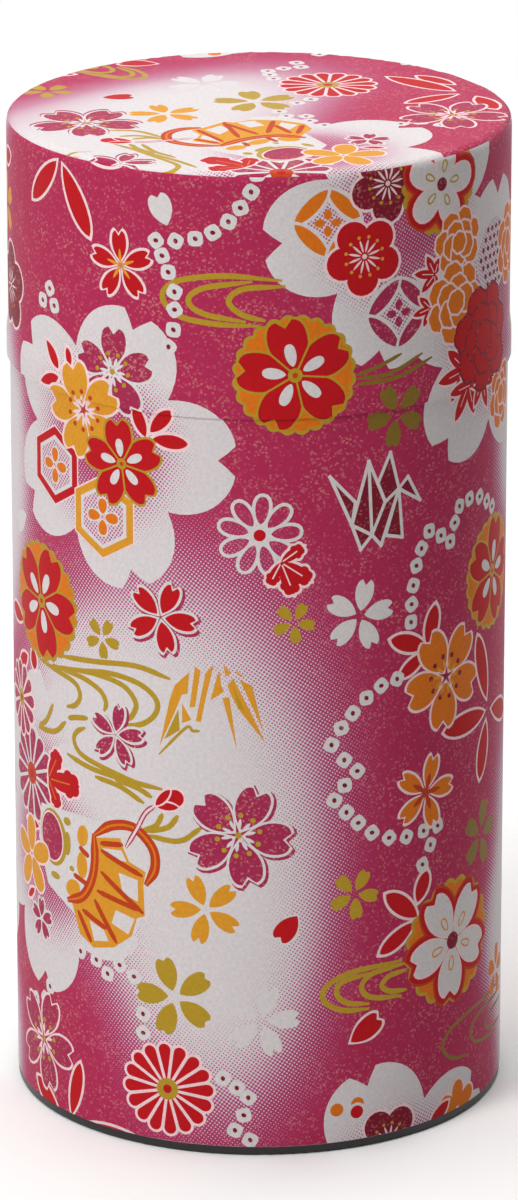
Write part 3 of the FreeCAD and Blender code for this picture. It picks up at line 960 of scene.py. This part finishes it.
def top_wrap(places):
    """Lays the disc on the lid and turns its edge down over the rounded corner."""
    flat = TOP_HIGH[0] - TOP_CORNER
    out = np.abs(places)
    angle = np.angle(places)
    bend = np.maximum(0, out - flat) / TOP_CORNER
    radius = np.minimum(out, flat) + TOP_CORNER * np.sin(bend)
    height = TOP_HIGH[2] - TOP_CORNER * (1 - np.cos(bend))
    at = np.stack([radius * np.cos(angle), radius * np.sin(angle), height], 1)
    normal = np.stack([np.sin(bend) * np.cos(angle), np.sin(bend) * np.sin(angle), np.cos(bend)], 1)
    return at, normal


# Materials
def linear(hex_colour):
    """An sRGB hex colour as linear red, green, blue and alpha."""
    parts = [int(hex_colour[k : k + 2], 16) / 255 for k in (1, 3, 5)]
    return (*[p / 12.92 if p <= 0.04045 else ((p + 0.055) / 1.055) ** 2.4 for p in parts], 1.0)


def add(tree, kind, inputs=None, **settings):
    """Adds a node with its settings, and links or sets its inputs."""
    made = tree.nodes.new(kind)
    for key, value in settings.items():
        setattr(made, key, value)
    for key, value in (inputs or {}).items():
        if isinstance(value, bpy.types.NodeSocket):
            tree.links.new(value, made.inputs[key])
        else:
            made.inputs[key].default_value = value
    return made


def new_material(name):
    """A material, its node tree and its surface shader."""
    material = bpy.data.materials.new(name)
    material.use_nodes = True
    return material, material.node_tree, material.node_tree.nodes["Principled BSDF"]


# Halftone dots, glitter flakes, patches of denser glitter and paper fibres, in millimetres. The dots and
# flakes are a little coarser than the real ones, so that they still show.
HALFTONE_PITCH = 0.52
GLITTER_CELL = 0.3
GLITTER_PATCH = 7.0
FIBRE_SPACING = 0.625
FIBRE_RELIEF = 0.06
HALFTONE_TURN = math.radians(34)


def halftone(tree, sheet, dye, ink):
    """Dots of dye on bare paper, which shrink and turn a bluer pink as the dye thins."""
    grid = 2 * math.pi / HALFTONE_PITCH
    turn = add(tree, "ShaderNodeMapping",
               {"Vector": sheet, "Rotation": (0, 0, HALFTONE_TURN), "Scale": (grid, grid, grid)})
    axes = add(tree, "ShaderNodeSeparateXYZ", {0: turn.outputs[0]})
    wave_x = add(tree, "ShaderNodeMath", {0: axes.outputs[0]}, operation="COSINE")
    wave_y = add(tree, "ShaderNodeMath", {0: axes.outputs[1]}, operation="COSINE")
    waves = add(tree, "ShaderNodeMath", {0: wave_x.outputs[0], 1: wave_y.outputs[0]}, operation="ADD")
    screen = add(tree, "ShaderNodeMath", {0: waves.outputs[0], 1: 0.25, 2: 0.5}, operation="MULTIPLY_ADD")
    level = add(tree, "ShaderNodeMath", {0: dye, 1: 1.3, 2: -0.15}, operation="MULTIPLY_ADD")
    over = add(tree, "ShaderNodeMath", {0: level.outputs[0], 1: screen.outputs[0]}, operation="SUBTRACT")
    dots = add(tree, "ShaderNodeMapRange", {0: over.outputs[0], 1: -0.14, 2: 0.14})
    tint = add(tree, "ShaderNodeMix", {"Factor": dye, "A": linear("#B8579C"), "B": ink}, data_type="RGBA")
    blend = {"Factor": dots.outputs[0], "A": linear("#DAD2D3"), "B": tint.outputs["Result"]}
    return add(tree, "ShaderNodeMix", blend, data_type="RGBA").outputs["Result"]


def glittered(tree, sheet, tone, strength, dye=None):
    """Fine pale flakes scattered in loose patches, fewer where the dye is thin."""
    flakes = add(tree, "ShaderNodeTexVoronoi", {"Vector": sheet, "Scale": 1 / GLITTER_CELL},
                 voronoi_dimensions="2D")
    chance = add(tree, "ShaderNodeSeparateColor", {0: flakes.outputs["Color"]})
    patch = add(tree, "ShaderNodeTexNoise", {"Vector": sheet, "Scale": 1 / GLITTER_PATCH, "Detail": 1.0},
                noise_dimensions="2D")
    dense = add(tree, "ShaderNodeMapRange", {0: patch.outputs[0], 1: 0.35, 2: 0.65, 3: 0.87, 4: 0.72})
    bright = add(tree, "ShaderNodeMath", {0: chance.outputs[0], 1: dense.outputs[0]}, operation="SUBTRACT")
    flake = add(tree, "ShaderNodeMapRange", {0: bright.outputs[0], 1: 0.0, 2: 0.3, 3: 0.0, 4: strength})
    if dye:
        flake = add(tree, "ShaderNodeMath", {0: flake.outputs[0], 1: dye}, operation="MULTIPLY")
    blend = {"Factor": flake.outputs[0], "A": tone, "B": linear("#EDB3A6")}
    return add(tree, "ShaderNodeMix", blend, data_type="RGBA").outputs["Result"]


def print_on_washi(name, colour, roughness=0.8, metallic=0.0, glitter=0.0, dyed=False):
    """Screen-printed ink on kozo paper: matt, a little uneven from the long fibres under it."""
    material, tree, shader = new_material(name)
    sheet = add(tree, "ShaderNodeUVMap", uv_map="sheet_mm").outputs["UV"]
    dye = None
    tone = linear(colour)
    if dyed:
        dye = add(tree, "ShaderNodeAttribute", attribute_name="dye").outputs["Fac"]
        tone = halftone(tree, sheet, dye, tone)
    if glitter:
        tone = glittered(tree, sheet, tone, glitter, dye)
    fibres = add(tree, "ShaderNodeTexNoise",
                 {"Vector": sheet, "Scale": 1 / FIBRE_SPACING, "Detail": 5.0, "Roughness": 0.65},
                 noise_dimensions="2D")
    light = add(tree, "ShaderNodeMapRange", {0: fibres.outputs[0], 1: 0.25, 2: 0.75, 3: 0.9, 4: 1.08})
    uneven = add(tree, "ShaderNodeHueSaturation", {"Value": light.outputs[0], "Color": tone})
    relief = add(tree, "ShaderNodeBump",
                 {"Height": fibres.outputs[0], "Strength": 0.35, "Distance": FIBRE_RELIEF * MM})
    tree.links.new(uneven.outputs[0], shader.inputs["Base Color"])
    tree.links.new(relief.outputs[0], shader.inputs["Normal"])
    shader.inputs["Roughness"].default_value = roughness
    shader.inputs["Metallic"].default_value = metallic
    shader.inputs["Specular IOR Level"].default_value = 0.12
    shader.inputs["Sheen Weight"].default_value = 0.16
    shader.inputs["Sheen Roughness"].default_value = 0.4
    return material


def washi_inks():
    """One material for each ink of the print."""
    return {
        "ground": print_on_washi("washi_dyed_ground", "#B02A53", glitter=0.36, dyed=True),
        "white": print_on_washi("washi_bare_white", "#DAD3D3"),
        "pale": print_on_washi("ink_pale_pink", "#EFD0D2"),
        "red": print_on_washi("ink_vermilion_red", "#BC121B"),
        "orange": print_on_washi("ink_deep_orange", "#DC7318"),
        "amber": print_on_washi("ink_amber", "#DA962A"),
        "gold": print_on_washi("ink_bronze_gold", "#B08F26", 0.6, 0.2),
        "bronze": print_on_washi("ink_dark_bronze", "#7F6521", 0.6, 0.2),
        "wine": print_on_washi("ink_dark_rose", "#A52A50", glitter=0.5),
        "plum": print_on_washi("ink_plum", "#7E152B", glitter=0.3),
        "cord": print_on_washi("ink_burnt_orange", "#BC3F1A"),
        "paper_back": print_on_washi("washi_back", "#D9D2CA"),
    }


# Lines left by rolling and spinning, clouds in the tin and the peel of the lacquer, in millimetres, and how
# far up a face looks where the lacquer ends
LINE_RELIEF = 0.02
TIN_CLOUD = 9.0
PEEL = 0.8
PEEL_RELIEF = 0.03
FACES_UP = 0.2


def tinplate(name, colour, roughness, line):
    """Tinned sheet steel, rolled and spun: a soft bright sheen with fine lines round the axis."""
    material, tree, shader = new_material(name)
    place = add(tree, "ShaderNodeTexCoord").outputs["Object"]
    axes = add(tree, "ShaderNodeSeparateXYZ", {0: place})
    flat = add(tree, "ShaderNodeCombineXYZ", {0: axes.outputs[0], 1: axes.outputs[1]})
    out = add(tree, "ShaderNodeVectorMath", {0: flat.outputs[0]}, operation="LENGTH")
    rings = add(tree, "ShaderNodeCombineXYZ", {0: out.outputs["Value"], 1: axes.outputs[2]})
    lines = add(tree, "ShaderNodeTexNoise",
                {"Vector": rings.outputs[0], "Scale": 1 / (line * MM), "Detail": 3.0},
                noise_dimensions="2D")
    cloud = add(tree, "ShaderNodeTexNoise", {"Vector": place, "Scale": 1 / (TIN_CLOUD * MM), "Detail": 2.0})
    gloss = add(tree, "ShaderNodeMapRange",
                {0: lines.outputs[0], 1: 0.2, 2: 0.8, 3: 0.8 * roughness, 4: 1.35 * roughness})
    shade = add(tree, "ShaderNodeMapRange", {0: cloud.outputs[0], 1: 0.3, 2: 0.7, 3: 0.93, 4: 1.03})
    tint = add(tree, "ShaderNodeHueSaturation", {"Value": shade.outputs[0], "Color": linear(colour)})
    relief = add(tree, "ShaderNodeBump",
                 {"Height": lines.outputs[0], "Strength": 0.12, "Distance": LINE_RELIEF * MM})
    tree.links.new(tint.outputs[0], shader.inputs["Base Color"])
    tree.links.new(gloss.outputs[0], shader.inputs["Roughness"])
    tree.links.new(relief.outputs[0], shader.inputs["Normal"])
    shader.inputs["Metallic"].default_value = 1.0
    return material


def black_lacquer():
    """Baked black lacquer: a satin film with faint orange peel outside, and bare bright tin inside."""
    material, tree, shader = new_material("black_satin_lacquer")
    where = add(tree, "ShaderNodeTexCoord")
    place = where.outputs["Object"]
    height = add(tree, "ShaderNodeSeparateXYZ", {0: place})
    facing = add(tree, "ShaderNodeSeparateXYZ", {0: where.outputs["Normal"]})
    above = add(tree, "ShaderNodeMath", {0: height.outputs[2], 1: LACQUER_TOP * MM},
                operation="GREATER_THAN")
    upward = add(tree, "ShaderNodeMath", {0: facing.outputs[2], 1: FACES_UP}, operation="GREATER_THAN")
    inside = add(tree, "ShaderNodeMath", {0: above.outputs[0], 1: upward.outputs[0]}, operation="MULTIPLY")
    bare = inside.outputs[0]
    film = add(tree, "ShaderNodeMix", {"Factor": bare, "A": linear("#0E0C0D"), "B": linear("#D9D7D1")},
               data_type="RGBA")
    peel = add(tree, "ShaderNodeTexNoise", {"Vector": place, "Scale": 1 / (PEEL * MM), "Detail": 2.0})
    gloss = add(tree, "ShaderNodeMapRange", {0: peel.outputs[0], 1: 0.3, 2: 0.7, 3: 0.3, 4: 0.42})
    relief = add(tree, "ShaderNodeBump",
                 {"Height": peel.outputs[0], "Strength": 0.15, "Distance": PEEL_RELIEF * MM})
    tree.links.new(gloss.outputs[0], shader.inputs["Roughness"])
    tree.links.new(relief.outputs[0], shader.inputs["Normal"])
    tree.links.new(film.outputs["Result"], shader.inputs["Base Color"])
    tree.links.new(bare, shader.inputs["Metallic"])
    return material


def finish_metal():
    """Gives every bare metal piece its own finish."""
    rolled = tinplate("rolled_tinplate", "#D9D7D1", 0.26, 0.35)
    pressed = tinplate("pressed_tinplate", "#DCDAD4", 0.2, 0.5)
    knob_metal = tinplate("turned_tinned_brass", "#D6CFC0", 0.14, 0.25)
    finishes = {
        rolled: ("body_shell", "neck_sleeve", "lid_skirt", "lid_top_plate"),
        pressed: ("inner_lid_dish", "knob_rivet"),
        knob_metal: ("inner_lid_knob",),
        black_lacquer(): ("bottom_end",),
    }
    for material, nodes in finishes.items():
        for node in nodes:
            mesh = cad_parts[node].data
            mesh.materials.clear()
            mesh.materials.append(material)


def cover_with_paper():
    """The three printed sheets, in place of the plain ones."""
    inks = washi_inks()
    wrap_sheet = print_wrap()
    body_rim = strip_rim(BODY_LOW[2], BODY_HIGH[2])
    body = paper_piece("printed_body_paper", wrap_sheet, body_rim, round_wrap(body_profile), inks)
    side_top = CORNER_LOW + TOP_CORNER * math.radians(90 - TOP_TURNED) - SHEET_GAP
    side_rim = strip_rim(LID_LOW[2] - LID_TUCK, side_top)
    side = paper_piece("printed_lid_side", wrap_sheet, side_rim, round_wrap(lid_profile), inks)
    reach = TOP_HIGH[0] - TOP_CORNER + TOP_CORNER * math.radians(TOP_TURNED)
    top = paper_piece("printed_lid_top", print_top(), circle(reach, steps=TOP_RIM_STEPS), top_wrap, inks)
    for piece, node, body_name in ((body, "body_paper", "caddy_body"), (side, "lid_side_paper", "outer_lid"),
                                   (top, "lid_top_paper", "outer_lid")):
        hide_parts(node)
        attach(piece, body_name)


# Floor, light and camera
def seen_directly(tree):
    """1 for a ray from the camera, or one mirrored or passed on from it."""
    path = add(tree, "ShaderNodeLightPath")
    mirrored_too = {0: path.outputs["Is Camera Ray"], 1: path.outputs["Is Glossy Ray"]}
    seen = add(tree, "ShaderNodeMath", mirrored_too, operation="MAXIMUM")
    passed_too = {0: seen.outputs[0], 1: path.outputs["Is Transmission Ray"]}
    return add(tree, "ShaderNodeMath", passed_too, operation="MAXIMUM").outputs[0]


# Metres from the axis where the floor starts and ends its fade, and half its width
FLOOR_FADE = (0.12, 0.5)
FLOOR_HALF = 3.0


def lay_floor():
    """Pale matt floor that keeps the caddy's shadow and fades to white further off.

    It throws less light back on the caddy than its own paleness would.
    """
    half = FLOOR_HALF
    mesh = bpy.data.meshes.new("floor")
    square = [(-half, -half, 0), (half, -half, 0), (half, half, 0), (-half, half, 0)]
    mesh.from_pydata(square, [], [(0, 1, 2, 3)])
    material, tree, shader = new_material("pale_matt_floor")
    direct = seen_directly(tree)
    tone = add(tree, "ShaderNodeMix", {"Factor": direct, "A": linear("#CFCECD"), "B": linear("#FDFDFC")},
               data_type="RGBA")
    tree.links.new(tone.outputs["Result"], shader.inputs["Base Color"])
    shader.inputs["Roughness"].default_value = 0.9
    place = add(tree, "ShaderNodeTexCoord").outputs["Object"]
    out = add(tree, "ShaderNodeVectorMath", {0: place}, operation="LENGTH")
    near_end, far_end = FLOOR_FADE
    far = add(tree, "ShaderNodeMapRange", {0: out.outputs["Value"], 1: near_end, 2: far_end},
              interpolation_type="SMOOTHSTEP")
    share = add(tree, "ShaderNodeMath", {0: far.outputs[0], 1: direct}, operation="MULTIPLY")
    white = add(tree, "ShaderNodeEmission", {"Strength": 1.0})
    both = add(tree, "ShaderNodeMixShader", {0: share.outputs[0], 1: shader.outputs[0], 2: white.outputs[0]})
    tree.links.new(both.outputs[0], tree.nodes["Material Output"].inputs["Surface"])
    mesh.materials.append(material)
    floor = bpy.data.objects.new("floor", mesh)
    bpy.context.scene.collection.objects.link(floor)


def hang_lamp(name, at, aim, size, watts):
    """A round soft lamp that faces a place."""
    data = bpy.data.lights.new(name, "AREA")
    data.shape = "DISK"
    data.size = size
    data.energy = watts
    lamp = bpy.data.objects.new(name, data)
    lamp.location = at
    lamp.rotation_mode = "QUATERNION"
    lamp.rotation_quaternion = (Vector(aim) - Vector(at)).to_track_quat("-Z", "Y")
    bpy.context.scene.collection.objects.link(lamp)


# Where the lamps aim, in metres, and how strongly the white all round lights the caddy
LAMP_AIM = (0, 0, 0.08)
ROOM_LIGHT = 0.18


def light_scene():
    """Soft light from the upper left and from above, a fill from behind, and white all round."""
    hang_lamp("key_upper_left", (-0.68, -0.76, 0.7), LAMP_AIM, 0.5, 7.9)
    hang_lamp("top_soft", (-0.1, 0.1, 1.2), LAMP_AIM, 0.9, 9.8)
    hang_lamp("back_fill", (0.7, 0.9, 0.6), LAMP_AIM, 0.8, 3.6)
    world = bpy.data.worlds.new("white_room")
    world.use_nodes = True
    bpy.context.scene.world = world
    tree = world.node_tree
    strength = add(tree, "ShaderNodeMapRange", {0: seen_directly(tree), 3: ROOM_LIGHT, 4: 1.0})
    back = tree.nodes["Background"]
    back.inputs["Color"].default_value = (1, 1, 1, 1)
    tree.links.new(strength.outputs[0], back.inputs["Strength"])


# Height of the picture and width of the lid in it, in pixels
IMAGE_HEIGHT = 1200
LID_WIDTH_SEEN = 506
# How far off the camera is and how high it aims, in metres, and how far it looks down, in degrees
CAMERA_AWAY = 1.1
CAMERA_AIM = 0.0795
CAMERA_ABOVE = 18.2


def set_camera():
    """Looks down on the caddy from the front."""
    rise = math.radians(CAMERA_ABOVE)
    aim = Vector((0, 0, CAMERA_AIM))
    back = Vector((0, -math.cos(rise), math.sin(rise)))
    data = bpy.data.cameras.new("camera")
    lid_away = CAMERA_AWAY - (TOP_HIGH[2] * MM - aim.z) * math.sin(rise)
    pixels = LID_WIDTH_SEEN / 2 * lid_away / (TOP_HIGH[0] * MM)
    data.sensor_fit = "AUTO"
    data.lens = data.sensor_width * pixels / IMAGE_HEIGHT
    camera = bpy.data.objects.new("camera", data)
    camera.location = aim + back * CAMERA_AWAY
    camera.rotation_mode = "QUATERNION"
    camera.rotation_quaternion = (-back).to_track_quat("-Z", "Y")
    bpy.context.scene.collection.objects.link(camera)
    bpy.context.scene.camera = camera


cover_with_paper()
finish_metal()
lay_floor()
light_scene()
set_camera()
bpy.context.scene.view_settings.view_transform = "Standard"
